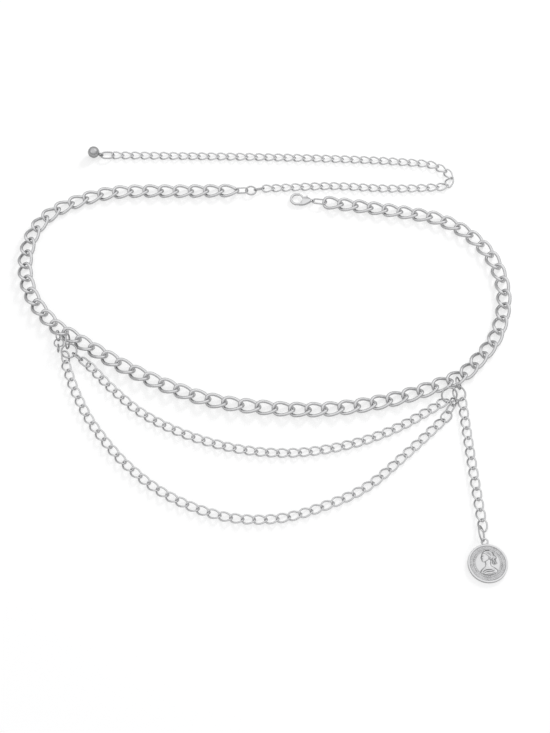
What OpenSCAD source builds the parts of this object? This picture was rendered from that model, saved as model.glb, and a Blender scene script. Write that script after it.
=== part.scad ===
// A waist chain lying flat: a run of large curb links round the waist, two swags of small curb
// links across the front, a drop with a round coin, and a lobster clasp that hooks into a ring
// or into any link of an extension chain that ends in a ball. Millimetres, floor at z = 0.

/* [Main chain] */
// Thickness of the wire of a large link
main_wire = 1.9; // [1.6:0.05:2]
// Clear length inside a large link
main_hole_len = 10.2; // [10.2:0.05:10.6]
// Clear width inside a large link
main_hole_w = 5.7; // [5.6:0.1:6.2]

/* [Small chains] */
// Thickness of the wire of a small link
small_wire = 1; // [0.8:0.05:1.1]
// Clear length inside a small link
small_hole_len = 6.74; // [6.7:0.02:6.9]
// Clear width inside a small link
small_hole_w = 3.9; // [3.8:0.1:4.2]

/* [Curb] */
// Turn of each end of a curb link out of the flat, in degrees
curb_turn = 42; // [39:1:45]
// Bluntness of the ends of a large link, where 2 is an ellipse and more is squarer
main_bluntness = 2.6; // [2.4:0.1:2.7]
// Bluntness of the ends of a small link
small_bluntness = 2.4; // [2.2:0.1:2.5]

/* [Left junction] */
// Thickness of the wire of the rings and joining links
ring_wire = 1; // [0.9:0.02:1.04]
// Thickness of the wire of the small spare rings and the two connectors
fine_wire = 0.8; // [0.7:0.02:0.86]
// Clear width of the ring through the main chain
hook_ring_hole = 7.8; // [7.7:0.1:8]
// Clear width of the big ring that carries both drapes
left_ring_hole = 8.2; // [8.1:0.1:8.4]
// Clear width of a joining link of the drapes
join_hole_w = 3.6; // [3.5:0.1:3.7]
// Clear length of a joining link of the drapes
join_hole_len = 6.6; // [6.5:0.1:6.7]
// Clear width of the spare ring in the main chain
spare_top_hole = 5.4; // [5.3:0.1:5.5]
// Clear width of the middle spare ring
spare_middle_hole = 4.8; // [4.7:0.1:4.9]
// Clear width of the last spare ring
spare_end_hole = 3.8; // [3.6:0.1:4]

/* [Right junction] */
// Clear width of the ring through the main chain
right_hook_hole = 6.2; // [6.1:0.1:6.3]
// Clear width of the ring that carries the drop
drop_ring_hole = 7.6; // [7.5:0.1:7.7]
// Clear width of the big ring that carries the upper drape
right_ring_hole = 8; // [7.9:0.1:8.1]
// Thickness of the wire of the two links between the rings, the clasp's link and the coin's ring
step_wire = 0.9; // [0.8:0.02:0.94]
// Clear width of the first link between the rings
step_a_hole_w = 3.1; // [3:0.1:3.2]
// Clear length of the first link between the rings
step_a_hole_len = 5.1; // [5:0.1:5.2]
// Clear width of the second link between the rings
step_b_hole_w = 3.5; // [3.4:0.1:3.6]
// Clear length of the second link between the rings
step_b_hole_len = 5.7; // [5.6:0.1:5.8]
// Clear width of the link at the end of the lower drape
right_end_hole_w = 4.4; // [4.3:0.1:4.5]
// Clear length of the link at the end of the lower drape
right_end_hole_len = 6.2; // [6.1:0.1:6.3]

/* [Clasp] */
// Outer diameter of the clasp's round hook
hook_d = 9.3; // [9.1:0.1:9.6]
// Diameter of the opening in the hook
hook_hole_d = 6.6; // [6.4:0.1:6.8]
// Height of the hook
hook_h = 1.5; // [1.3:0.1:1.8]
// Bevel along the edges of the hook
hook_bevel = 0.2; // [0.1:0.05:0.3]
// Thickness of the clasp's body
body_h = 3; // [2.8:0.1:3.4]
// Length of the body from the centre of the hook to the tail
body_len = 8.9; // [8.6:0.1:9.2]
// Thickness of the lever
lever_h = 1.1; // [0.9:0.05:1.2]
// Space above and below the lever in its slot
lever_gap = 0.2; // [0.15:0.05:0.25]
// Radius of the round end of the lever at its pivot
lever_hub_r = 1.3; // [1.1:0.05:1.4]
// Clearance round the lever inside the body
lever_room = 0.35; // [0.25:0.05:0.45]
// Distance of the pivot from the centre of the hook
pivot_x = 5.6; // [5.5:0.05:5.7]
// Offset of the pivot towards the lever's side
pivot_y = 0.4; // [0.3:0.05:0.5]
// Diameter of the rivet
rivet_d = 0.9; // [0.8:0.05:1]
// Difference between the lever's hole and the rivet
rivet_play = 0.1; // [0.06:0.02:0.14]
// Opening in the tail eye
tail_hole = 1.7; // [1.6:0.05:1.8]
// Clear width of the link between the clasp and the main chain
clasp_link_hole_w = 4.2; // [4.1:0.1:4.3]
// Clear length of the link between the clasp and the main chain
clasp_link_hole_len = 8.2; // [8.1:0.1:8.3]

/* [Extension] */
// Clear width of the ring that the clasp hooks into
extension_ring_hole = 5.6; // [5.5:0.1:5.7]
// Clear width of the connector at the main chain
main_connector_hole_w = 3; // [2.9:0.1:3.1]
// Clear length of the connector at the main chain
main_connector_hole_len = 7.2; // [7.1:0.1:7.3]
// Clear width of the connector at the extension chain
extension_connector_hole_w = 1.9; // [1.9:0.05:2]
// Clear length of the connector at the extension chain
extension_connector_hole_len = 5.9; // [5.8:0.1:6]
// Diameter of the ball at the free end
ball_d = 7.5; // [7:0.1:8]
// Opening in the ball's eye
ball_eye_hole = 1.7; // [1.6:0.05:1.8]
// Clear width of the link between the extension chain and the ball
end_link_hole_w = 5.4; // [5.3:0.1:5.5]
// Clear length of the link between the extension chain and the ball
end_link_hole_len = 7.4; // [7.3:0.05:7.5]

/* [Coin] */
// Diameter of the coin
coin_d = 22; // [21.6:0.1:22.4]
// Thickness of the coin at its rim
coin_h = 1.7; // [1.5:0.1:2]
// Width of the raised rim
rim_w = 0.9; // [0.7:0.1:1.2]
// Depth of the field below the rim
field_depth = 0.35; // [0.25:0.05:0.45]
// Diameter of the beads in the border
bead_d = 1.1; // [0.8:0.1:1.3]
// Height of the bust above the field
bust_h = 0.55; // [0.4:0.05:0.6]
// Tilt of the coin, its looped edge lifted, in degrees
coin_tilt = 3.5; // [2:0.5:5]
// Opening in the coin's loop
coin_loop_hole = 2.6; // [2.5:0.1:2.8]
// Clear width of the ring that carries the coin
coin_ring_hole = 7.8; // [7.7:0.1:7.9]

/* [Hidden] */
$fn = 64;

// Sides of a curb link along its loop and round its wire
link_stations = 10;
wire_sides = 5;
// Steps of a smooth run between two route points
route_steps = 10;
// Sides and ring spacing of the plain tubes that stand for the two finest chains
tube_sides = 8;
tube_ring_gap = 12;
// Space between the end of such a tube and the ring or link beside it
tube_end_gap = 0.3;

// Routes of the chains on the floor, [x, y], chosen by hand
main_route = [[-22, 116], [-51, 115.5], [-81, 115.5], [-101, 113.5], [-120, 107], [-136, 97],
    [-146, 81], [-148.5, 57], [-142, 34], [-128, 15], [-115.5, 5.5], [-82, -16], [-55, -29.5],
    [-26, -39.5], [13, -44.5], [45, -44], [81, -37], [116, -23.5], [129, -12], [142, 6],
    [149, 32], [146, 58], [134, 78], [115, 92], [93, 98], [64, 103], [45.5, 105.8]];
upper_route = [[-102, -16], [-88, -31], [-69, -47.5], [-42, -61.5], [-11, -70.5], [20, -72.5],
    [52, -67], [80, -56], [106.7, -39.7]];
lower_route = [[-117, -15], [-110, -33], [-98, -55], [-77, -80.5], [-51, -100.5], [-20, -112.5],
    [10, -113.5], [37, -105.5], [61, -93.5], [84, -73], [104, -53.5]];
drop_route = [[118.4, -40.4], [120.5, -73], [122.5, -99], [124, -118]];
extension_route = [[-95.8, 146], [-60, 145.5], [0, 144.5], [59, 142.5], [96, 140], [112, 137.5],
    [121.5, 130], [120.5, 122], [111, 119.5], [81, 118.5], [44, 120.5], [3.6, 118.6]];

// Which link of the main chain lies at which of its route points: [link, point]
main_stops = [[0, 0], [23, 10], [37, 14], [48, 17], [70, 26]];
// Links in each small chain that is built link by link
upper_links = 38;
lower_links = 45;

// Places of the rings and joining links, [x, y, lift off the floor], and their turns, by hand
hook_ring_place = [-117, 0.5, 0];
hook_ring_turn = [4, 85, 0];
left_ring_place = [-116, -4.8, 1.5];
left_ring_turn = [5, 0, 0];
left_link_upper_place = [-110.6, -8.9, 0];
left_link_upper_turn = [-58, -3, -44];
left_link_upper_end_place = [-106.1, -12.3, 0.5];
left_link_upper_end_turn = [-14, 8, -39];
left_link_lower_place = [-117.9, -8.9, 0];
left_link_lower_turn = [-32, 9, -82];
spare_top_place = [-123.3, 5.1, 0.3];
spare_top_turn = [0, 77, 0];
spare_middle_place = [-122.6, 0.8, 2.1];
spare_middle_turn = [0, 0, 0];
spare_end_place = [-122.6, -3.1, 0];
spare_end_turn = [0, 90, 0];
right_hook_place = [116.6, -27.9, 0];
right_hook_turn = [-1, 62, 0];
drop_ring_place = [116.8, -34.3, 0.3];
drop_ring_turn = [-2, 27, -27];
right_ring_place = [110.7, -35.9, 0.3];
right_ring_turn = [41, -1, 9];
step_a_place = [113, -39.6, 0];
step_a_turn = [29, 16, 71];
step_b_place = [110.9, -44.2, 0.6];
step_b_turn = [-36, -3, 62];
right_end_place = [108.3, -49.1, 0];
right_end_turn = [24, -4, 45];
clasp_place = [22.3, 109.8, 0];
clasp_turn = -8.9;
clasp_link_place = [36.7, 107.3, 0.9];
clasp_link_turn = [-19, -3, -11];
extension_ring_place = [-7.6, 116.4, 1.3];
extension_ring_turn = [0, 4, 0];
main_connector_place = [-13.7, 116.2, 0.15];
main_connector_turn = [72, 0, 3];
extension_connector_place = [-2.3, 117.9, 0];
extension_connector_turn = [111, 2, 14];
ball_place = [-111.6, 146.8, 0];
ball_eye_turn = [0, 22, -8];
end_link_place = [-102.7, 145.85, 0.4];
end_link_turn = [-12, 4, 5];
coin_place = [125.1, -140.4, 0];
coin_loop_x = -0.8;
coin_ring_place = [122.6, -123.9, 0];
coin_ring_turn = [4, 63, 6];

// Half lengths and half widths of the links, along the middle of the wire
main_a = (main_hole_len + main_wire) / 2;
main_b = (main_hole_w + main_wire) / 2;
small_a = (small_hole_len + small_wire) / 2;
small_b = (small_hole_w + small_wire) / 2;

function unit(v) = v / norm(v);
function last(list) = list[len(list) - 1];

// Middle of the wire of a curb link at angle t: a blunt oval whose ends are turned out of the flat
function curb_middle(a, b, blunt, t) =
    let (reach = pow(pow(abs(cos(t)), blunt) + pow(abs(sin(t)), blunt), -1 / blunt),
        x = a * reach * cos(t),
        y = b * reach * sin(t),
        turn = -curb_turn * x / a)
    [x, y * cos(turn), y * sin(turn)];

// Corners of the wire of a curb link at angle t
function curb_ring(a, b, blunt, wire, t) =
    let (middle = curb_middle(a, b, blunt, t),
        along = unit(curb_middle(a, b, blunt, t + 2) - curb_middle(a, b, blunt, t - 2)),
        side = unit(cross(along, [0, 0, 1])),
        up = cross(side, along))
    [for (i = [0:wire_sides - 1])
        let (g = 360 * i / wire_sides) middle + wire / 2 * (cos(g) * side + sin(g) * up)];

// All corners of one link, lifted so that its lowest corner is on the floor
function curb_corners(a, b, blunt, wire) =
    let (corners = [for (s = [0:link_stations - 1])
            each curb_ring(a, b, blunt, wire, 360 * s / link_stations)],
        lift = -min([for (p = corners) p.z]))
    [for (p = corners) p + [0, 0, lift]];

// Triangles of a loop of rings of corners: closed into a circle
function loop_faces(first, stations, sides) =
    [for (s = [0:stations - 1]) for (i = [0:sides - 1])
        let (t = (s + 1) % stations, j = (i + 1) % sides,
            p = first + s * sides + i, q = first + s * sides + j,
            r = first + t * sides + i, u = first + t * sides + j)
        each [[p, r, u], [p, u, q]]];

// Smooth run through the route points
function smooth(points) =
    let (n = len(points))
    [for (i = [0:n - 2])
        let (p1 = points[i], p2 = points[i + 1],
            p0 = i > 0 ? points[i - 1] : 2 * p1 - p2,
            p3 = i + 2 < n ? points[i + 2] : 2 * p2 - p1)
        for (j = [0:route_steps - 1])
            let (u = j / route_steps)
            (2 * p1 + (p2 - p0) * u + (2 * p0 - 5 * p1 + 4 * p2 - p3) * u * u
                + (3 * p1 - p0 - 3 * p2 + p3) * u * u * u) / 2,
        last(points)];

// Length along the run at each of its points
function lengths(run) =
    [for (i = 0, s = 0; i < len(run); s = s + (i + 1 < len(run) ? norm(run[i + 1] - run[i]) : 0), i = i + 1) s];

// A route ready to walk: [run, lengths, table of x, table of y]
function route_of(points) =
    let (run = smooth(points), s = lengths(run), n = len(run))
    [run, s, [for (i = [0:n - 1]) [s[i], run[i].x]], [for (i = [0:n - 1]) [s[i], run[i].y]]];

// Point at length s along a route, straight on beyond its ends
function walk(route, s) =
    let (run = route[0], n = len(run), whole = last(route[1]))
    s < 0 ? run[0] + unit(run[1] - run[0]) * s
    : s > whole ? run[n - 1] + unit(run[n - 1] - run[n - 2]) * (s - whole)
    : [lookup(s, route[2]), lookup(s, route[3])];

// Place and heading at length s, the heading taken over one link
function place_on(route, s, span) =
    let (p = walk(route, s), d = walk(route, s + span / 2) - walk(route, s - span / 2))
    [p.x, p.y, atan2(d.y, d.x)];

function placed(p, place) =
    [place.x + p.x * cos(place.z) - p.y * sin(place.z),
        place.y + p.x * sin(place.z) + p.y * cos(place.z), p.z];

// A chain of separate curb links, as one body of many loose loops
module curb_chain(a, b, blunt, wire, points, stops) {
    route = route_of(points);
    count = last(stops)[0] + 1;
    span = last(route[1]) / (count - 1);
    table = [for (stop = stops) [stop[0], route[1][stop[1] * route_steps]]];
    corners = curb_corners(a, b, blunt, wire);
    places = [for (k = [0:count - 1]) place_on(route, lookup(k, table), span)];
    polyhedron([for (place = places) for (p = corners) placed(p, place)],
        [for (k = [0:count - 1]) each loop_faces(k * len(corners), link_stations, wire_sides)],
        convexity = 10);
}

// The outer shape of a small chain as a plain flattened tube, from one length of its route to another
module chain_tube(points, from, to) {
    route = route_of(points);
    reach = curb_corners(small_a, small_b, small_bluntness, small_wire);
    half_w = small_b + small_wire / 2;
    half_h = max([for (p = reach) p.z]) / 2;
    rings = ceil((to - from) / tube_ring_gap);
    corners = [for (k = [0:rings])
        let (place = place_on(route, from + (to - from) * k / rings, small_a))
        for (i = [0:tube_sides - 1])
            let (g = 360 * (i + 0.5) / tube_sides, flat = cos(180 / tube_sides))
            placed([0, half_w * cos(g) / flat, half_h + half_h * sin(g) / flat], place)];
    walls = [for (k = [0:rings - 1]) for (i = [0:tube_sides - 1])
        let (j = (i + 1) % tube_sides, p = k * tube_sides + i, q = k * tube_sides + j)
        each [[p, q, q + tube_sides], [p, q + tube_sides, p + tube_sides]]];
    near_end = [for (i = [tube_sides - 1:-1:0]) i];
    far_end = [for (i = [0:tube_sides - 1]) rings * tube_sides + i];
    polyhedron(corners, concat(walls, [near_end, far_end]), convexity = 6);
}

// A ring of round wire in the XY plane, or a long link with two straight sides along X
module wire_loop(hole_w, hole_len, wire) {
    r = (hole_w + wire) / 2;
    straight = hole_len - hole_w;
    if (straight == 0) {
        rotate_extrude() translate([r, 0]) circle(d = wire);
    } else {
        for (end = [-1, 1]) {
            translate([end * straight / 2, 0, 0]) rotate(-90 * end)
                rotate_extrude(angle = 180) translate([r, 0]) circle(d = wire);
            translate([-straight / 2, end * r, 0]) rotate([0, 90, 0]) cylinder(d = wire, h = straight);
        }
    }
}

// The same, turned and set down so that its lowest point is the place's lift off the floor
module set_loop(place, turn, hole_w, hole_len, wire) {
    r = (hole_w + wire) / 2;
    flatness = cos(turn.x) * cos(turn.y);
    drop = wire / 2 + r * sqrt(1 - flatness * flatness) + (hole_len - hole_w) / 2 * abs(sin(turn.y));
    color("silver") translate([place.x, place.y, place.z + drop]) rotate(turn)
        wire_loop(hole_w, hole_len, wire);
}

module main_chain() {
    color("silver") curb_chain(main_a, main_b, main_bluntness, main_wire, main_route, main_stops);
}

module upper_drape() {
    color("silver") curb_chain(small_a, small_b, small_bluntness, small_wire, upper_route,
        [[0, 0], [upper_links - 1, len(upper_route) - 1]]);
}

module lower_drape() {
    color("silver") curb_chain(small_a, small_b, small_bluntness, small_wire, lower_route,
        [[0, 0], [lower_links - 1, len(lower_route) - 1]]);
}

// The drop starts just below its ring and ends just above the coin's ring
module drop_chain() {
    ring_reach = drop_ring_hole / 2 + ring_wire;
    coin_ring_reach = coin_ring_hole / 2 + step_wire;
    from = drop_route[0].y - (drop_ring_place.y - ring_reach - tube_end_gap);
    whole = last(lengths(smooth(drop_route)));
    beyond = last(drop_route).y - (coin_ring_place.y + coin_ring_reach + tube_end_gap);
    color("silver") chain_tube(drop_route, from, whole + beyond);
}

// The extension starts beside the end link and ends beside its connector
module extension_chain() {
    link_reach = end_link_hole_len / 2 + ring_wire;
    connector_reach = extension_connector_hole_len / 2 + fine_wire;
    from = end_link_place.x + link_reach + tube_end_gap - extension_route[0].x;
    whole = last(lengths(smooth(extension_route)));
    beyond = last(extension_route).x - (extension_connector_place.x + connector_reach + tube_end_gap);
    color("silver") chain_tube(extension_route, from, whole + beyond);
}

module hook_ring() {
    set_loop(hook_ring_place, hook_ring_turn, hook_ring_hole, hook_ring_hole, ring_wire);
}

module left_ring() {
    set_loop(left_ring_place, left_ring_turn, left_ring_hole, left_ring_hole, ring_wire);
}

module left_link_upper() {
    set_loop(left_link_upper_place, left_link_upper_turn, join_hole_w, join_hole_len, ring_wire);
}

module left_link_upper_end() {
    set_loop(left_link_upper_end_place, left_link_upper_end_turn, join_hole_w, join_hole_len, ring_wire);
}

module left_link_lower() {
    set_loop(left_link_lower_place, left_link_lower_turn, join_hole_w, join_hole_len, ring_wire);
}

module spare_ring_top() {
    set_loop(spare_top_place, spare_top_turn, spare_top_hole, spare_top_hole, fine_wire);
}

module spare_ring_middle() {
    set_loop(spare_middle_place, spare_middle_turn, spare_middle_hole, spare_middle_hole, fine_wire);
}

module spare_ring_end() {
    set_loop(spare_end_place, spare_end_turn, spare_end_hole, spare_end_hole, fine_wire);
}

module right_hook_ring() {
    set_loop(right_hook_place, right_hook_turn, right_hook_hole, right_hook_hole, ring_wire);
}

module right_drop_ring() {
    set_loop(drop_ring_place, drop_ring_turn, drop_ring_hole, drop_ring_hole, ring_wire);
}

module right_big_ring() {
    set_loop(right_ring_place, right_ring_turn, right_ring_hole, right_ring_hole, ring_wire);
}

module right_link_a() {
    set_loop(step_a_place, step_a_turn, step_a_hole_w, step_a_hole_len, step_wire);
}

module right_link_b() {
    set_loop(step_b_place, step_b_turn, step_b_hole_w, step_b_hole_len, step_wire);
}

module right_end_link() {
    set_loop(right_end_place, right_end_turn, right_end_hole_w, right_end_hole_len, ring_wire);
}

module clasp_link() {
    set_loop(clasp_link_place, clasp_link_turn, clasp_link_hole_w, clasp_link_hole_len, step_wire);
}

module extension_ring() {
    set_loop(extension_ring_place, extension_ring_turn, extension_ring_hole, extension_ring_hole, ring_wire);
}

module main_connector() {
    set_loop(main_connector_place, main_connector_turn, main_connector_hole_w,
        main_connector_hole_len, fine_wire);
}

module extension_connector() {
    set_loop(extension_connector_place, extension_connector_turn, extension_connector_hole_w,
        extension_connector_hole_len, fine_wire);
}

module end_link() {
    set_loop(end_link_place, end_link_turn, end_link_hole_w, end_link_hole_len, ring_wire);
}

module coin_ring() {
    set_loop(coin_ring_place, coin_ring_turn, coin_ring_hole, coin_ring_hole, step_wire);
}

// The ball with an upright eye at its low side
module end_ball() {
    eye_wire = step_wire;
    eye_r = (ball_eye_hole + eye_wire) / 2;
    color("silver") translate([ball_place.x, ball_place.y, ball_d / 2]) {
        sphere(d = ball_d);
        rotate([0, 0, ball_eye_turn.z]) rotate([0, ball_eye_turn.y, 0])
            translate([ball_d / 2 + eye_r, 0, 0]) rotate([90, 0, 0])
                wire_loop(ball_eye_hole, ball_eye_hole, eye_wire);
    }
}

// Clasp. Its own frame has the centre of the hook at the origin and the tail along +X.
hook_r = hook_d / 2;
hook_hole_r = hook_hole_d / 2;
// Angles round the hook: where the tip ends, and the ends of the body's part of the opening
hook_tip_angle = 74;
hook_end_angle = 300;
gate_from_angle = 16;
gate_to_angle = 69;
// Wire of the tail eye, how far it is sunk into the body, and its height over the body's middle
tail_wire = 0.8;
tail_sunk = 0.65;
tail_rise = 0.4;

module in_clasp() {
    translate([clasp_place.x, clasp_place.y, body_h / 2]) rotate(clasp_turn) children();
}

// Sector of the plane between two angles
module sector(from, to, reach) {
    steps = 6;
    polygon(concat([[0, 0]],
        [for (i = [0:steps]) let (g = from + (to - from) * i / steps) reach * [cos(g), sin(g)]]));
}

// Half section of the hook's bevelled wall
module hook_section() {
    polygon([[hook_hole_r + hook_bevel, -hook_h / 2], [hook_r - hook_bevel, -hook_h / 2],
        [hook_r, hook_bevel - hook_h / 2], [hook_r, hook_h / 2 - hook_bevel],
        [hook_r - hook_bevel, hook_h / 2], [hook_hole_r + hook_bevel, hook_h / 2],
        [hook_hole_r, hook_h / 2 - hook_bevel], [hook_hole_r, hook_bevel - hook_h / 2]]);
}

// Outline of the thick body behind the hook, in shares of its length and of the hook's radius
module body_outline() {
    shares = [[0.2, -0.93], [0.52, -0.84], [0.76, -0.56], [0.93, -0.26], [1, -0.13], [1, 0.13],
        [0.94, 0.26], [0.81, 0.41], [0.66, 0.5], [0.5, 0.42], [0.4, 0.2]];
    polygon([for (s = shares) [s.x * body_len, s.y * hook_r]]);
}

// Half section of the hole that clears the hook's opening out of the body
module opening_section() {
    wall = hook_h / 2 - hook_bevel;
    wide = hook_hole_r + hook_bevel;
    polygon([[0, -body_h], [wide, -body_h], [wide, -hook_h / 2], [hook_hole_r, -wall],
        [hook_hole_r, wall], [wide, hook_h / 2], [wide, body_h], [0, body_h]]);
}

// Outline of the lever: its hub, the gate that closes the hook, and the nub for a thumb
module lever_outline() {
    gate_inner = hook_hole_r + 0.15;
    gate_outer = hook_r - 0.15;
    nub = [pivot_x + 0.4, pivot_y + 2.5];
    nub_r = 0.7;
    tip_reach = 5.35;
    translate([pivot_x, pivot_y]) circle(r = lever_hub_r);
    intersection() {
        difference() {
            circle(r = gate_outer);
            circle(r = gate_inner);
        }
        sector(gate_from_angle, gate_to_angle, hook_d);
        translate([pivot_x, pivot_y]) circle(r = tip_reach);
    }
    polygon([gate_inner * [cos(gate_from_angle), sin(gate_from_angle)],
        [pivot_x - 0.3, pivot_y - lever_hub_r * 0.9], [pivot_x + 0.2, pivot_y + lever_hub_r * 0.95],
        gate_outer * [cos(32), sin(32)], gate_inner * [cos(28), sin(28)]]);
    translate(nub) circle(r = nub_r);
    polygon([[pivot_x - 0.9, pivot_y + 0.8], [pivot_x + 1, pivot_y + 0.7], nub + [nub_r, 0], nub - [nub_r, 0]]);
}

// Room for the lever inside the body, open towards the hook and to the lever's side
module lever_room_outline() {
    translate([pivot_x, pivot_y]) circle(r = lever_hub_r + lever_room);
    polygon([[2, pivot_y - 0.7], [pivot_x - 2, pivot_y - 0.7],
        [pivot_x - 0.4, pivot_y - lever_hub_r - lever_room * 0.8],
        [pivot_x + lever_hub_r + lever_room, pivot_y + 0.4], [pivot_x + 2, hook_r], [2, hook_r]]);
}

module clasp_body() {
    slot_h = lever_h + 2 * lever_gap;
    color("silver") in_clasp() difference() {
        union() {
            rotate([0, 0, hook_tip_angle]) rotate_extrude(angle = hook_end_angle - hook_tip_angle)
                hook_section();
            difference() {
                linear_extrude(body_h, center = true) body_outline();
                rotate_extrude() opening_section();
            }
            translate([body_len + tail_hole / 2 + tail_wire - tail_sunk, 0, tail_rise]) rotate([90, 0, 0])
                wire_loop(tail_hole, tail_hole, tail_wire);
        }
        linear_extrude(slot_h, center = true) lever_room_outline();
        translate([pivot_x, pivot_y, 0]) cylinder(d = rivet_d, h = body_h + 1, center = true);
    }
}

module clasp_lever() {
    color("silver") in_clasp() difference() {
        linear_extrude(lever_h, center = true) lever_outline();
        translate([pivot_x, pivot_y, 0]) cylinder(d = rivet_d + rivet_play, h = body_h, center = true);
    }
}

module clasp_rivet() {
    color("silver") in_clasp() translate([pivot_x, pivot_y, 0])
        cylinder(d = rivet_d, h = body_h, center = true);
}

// Coin. Its own frame has its centre at the origin and the loop towards +Y.
coin_r = coin_d / 2;
coin_loop_wire = 0.9;
bead_count = 36;

// The lowest point of the tilted coin touches the floor
module in_coin() {
    translate([coin_place.x, coin_place.y, coin_r * sin(coin_tilt) + coin_h / 2 * cos(coin_tilt)])
        rotate([coin_tilt, 0, 0]) children();
}

// Half section of the coin: a flat web between raised rims with rounded edges
module coin_section() {
    edge = 0.25;
    web = coin_h - 2 * field_depth;
    rim_in = coin_r - rim_w;
    polygon([[0, -web / 2], [rim_in - field_depth, -web / 2], [rim_in, -coin_h / 2],
        [coin_r - edge, -coin_h / 2], [coin_r, edge - coin_h / 2], [coin_r, coin_h / 2 - edge],
        [coin_r - edge, coin_h / 2], [rim_in, coin_h / 2], [rim_in - field_depth, web / 2], [0, web / 2]]);
}

// Outlines of the bust, a plain classical head facing -X, in shares of the coin's radius
module bust_shoulders() {
    intersection() {
        circle(r = 0.64 * coin_r);
        polygon(coin_r * [[-0.32, -0.62], [-0.3, -0.36], [-0.2, -0.22], [-0.06, -0.15], [0.14, -0.18],
            [0.32, -0.26], [0.46, -0.4], [0.5, -0.62]]);
    }
}

module bust_neck() {
    polygon(coin_r * [[-0.15, 0.12], [-0.13, -0.08], [-0.18, -0.24], [0.14, -0.26], [0.15, -0.06],
        [0.2, 0.2]]);
}

module bust_face() {
    polygon(coin_r * [[-0.22, 0.52], [-0.26, 0.44], [-0.265, 0.39], [-0.33, 0.3], [-0.285, 0.27],
        [-0.305, 0.235], [-0.285, 0.215], [-0.3, 0.185], [-0.275, 0.16], [-0.285, 0.11],
        [-0.24, 0.06], [-0.14, 0.06], [0.02, 0.14], [0.1, 0.32], [0, 0.56]]);
}

module bust_hair() {
    translate(coin_r * [0.04, 0.38]) circle(r = 0.25 * coin_r);
    translate(coin_r * [-0.1, 0.47]) circle(r = 0.14 * coin_r);
    translate(coin_r * [0.3, 0.27]) circle(r = 0.11 * coin_r);
    polygon(coin_r * [[0.26, 0.2], [0.34, 0.2], [0.42, -0.02], [0.34, 0]]);
}

// A band across the hair and two folds of cloth over the shoulder
module bust_lines() {
    intersection() {
        difference() {
            translate(coin_r * [0.1, 0.1]) circle(r = 0.44 * coin_r);
            translate(coin_r * [0.1, 0.1]) circle(r = 0.4 * coin_r);
        }
        translate(coin_r * [-0.2, 0.4]) square(coin_r * [0.44, 0.3]);
    }
    for (r = [0.3, 0.44]) {
        intersection() {
            difference() {
                translate(coin_r * [0.1, -0.02]) circle(r = (r + 0.05) * coin_r);
                translate(coin_r * [0.1, -0.02]) circle(r = r * coin_r);
            }
            bust_shoulders();
        }
    }
}

module coin() {
    field_top = coin_h / 2 - field_depth;
    border_r = coin_r - rim_w - field_depth - bead_d / 2;
    sunk = 0.2;
    color("silver") in_coin() {
        rotate_extrude() coin_section();
        for (i = [0:bead_count - 1])
            rotate(360 * i / bead_count) translate([border_r, 0, field_top - bead_d / 4]) sphere(d = bead_d);
        translate([0, 0, field_top - sunk]) {
            linear_extrude(sunk + bust_h * 0.45) bust_shoulders();
            linear_extrude(sunk + bust_h * 0.55) bust_neck();
            linear_extrude(sunk + bust_h * 0.75) bust_face();
            linear_extrude(sunk + bust_h * 0.9) bust_hair();
            linear_extrude(sunk + bust_h) bust_lines();
        }
        translate([coin_loop_x, coin_r + coin_loop_hole / 2 + coin_loop_wire / 4, 0])
            wire_loop(coin_loop_hole, coin_loop_hole, coin_loop_wire);
    }
}

main_chain();
upper_drape();
lower_drape();
drop_chain();
extension_chain();
hook_ring();
left_ring();
left_link_upper();
left_link_upper_end();
left_link_lower();
spare_ring_top();
spare_ring_middle();
spare_ring_end();
right_hook_ring();
right_drop_ring();
right_big_ring();
right_link_a();
right_link_b();
right_end_link();
clasp_body();
clasp_lever();
clasp_rivet();
clasp_link();
extension_ring();
main_connector();
extension_connector();
end_link();
end_ball();
coin_ring();
coin();
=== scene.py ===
"""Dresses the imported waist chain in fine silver: curb links, wire rings, clasp, ball and coin.

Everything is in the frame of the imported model, in metres, with the floor at z = 0.
"""

from math import cos, pi, radians, sin, sqrt

import bmesh
import bpy
import numpy as np
from mathutils import Euler, Matrix, Vector


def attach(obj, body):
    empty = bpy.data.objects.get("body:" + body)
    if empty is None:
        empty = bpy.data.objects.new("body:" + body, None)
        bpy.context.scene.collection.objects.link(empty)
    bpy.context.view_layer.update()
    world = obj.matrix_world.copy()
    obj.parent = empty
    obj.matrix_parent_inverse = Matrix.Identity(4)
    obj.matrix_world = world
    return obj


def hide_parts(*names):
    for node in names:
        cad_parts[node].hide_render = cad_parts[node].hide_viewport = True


bl_info = {
    "name": "Waist chain",
    "version": (1, 0, 0),
    "blender": (4, 5, 0),
    "location": "3D View > Sidebar > Waist chain",
    "description": "Builds a waist chain with two swags, a coin drop and a clasp",
    "category": "Object",
}

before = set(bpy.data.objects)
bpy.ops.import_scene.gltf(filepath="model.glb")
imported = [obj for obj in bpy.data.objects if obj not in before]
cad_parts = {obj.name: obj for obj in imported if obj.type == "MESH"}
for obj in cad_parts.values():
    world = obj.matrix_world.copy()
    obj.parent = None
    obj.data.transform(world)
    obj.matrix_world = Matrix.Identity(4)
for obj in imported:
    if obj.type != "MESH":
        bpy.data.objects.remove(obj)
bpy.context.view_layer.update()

MM = 0.001
CHAIN, LEVER = "chain", "lever"
RIGHT, FORWARD, UP = np.eye(3)

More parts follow.
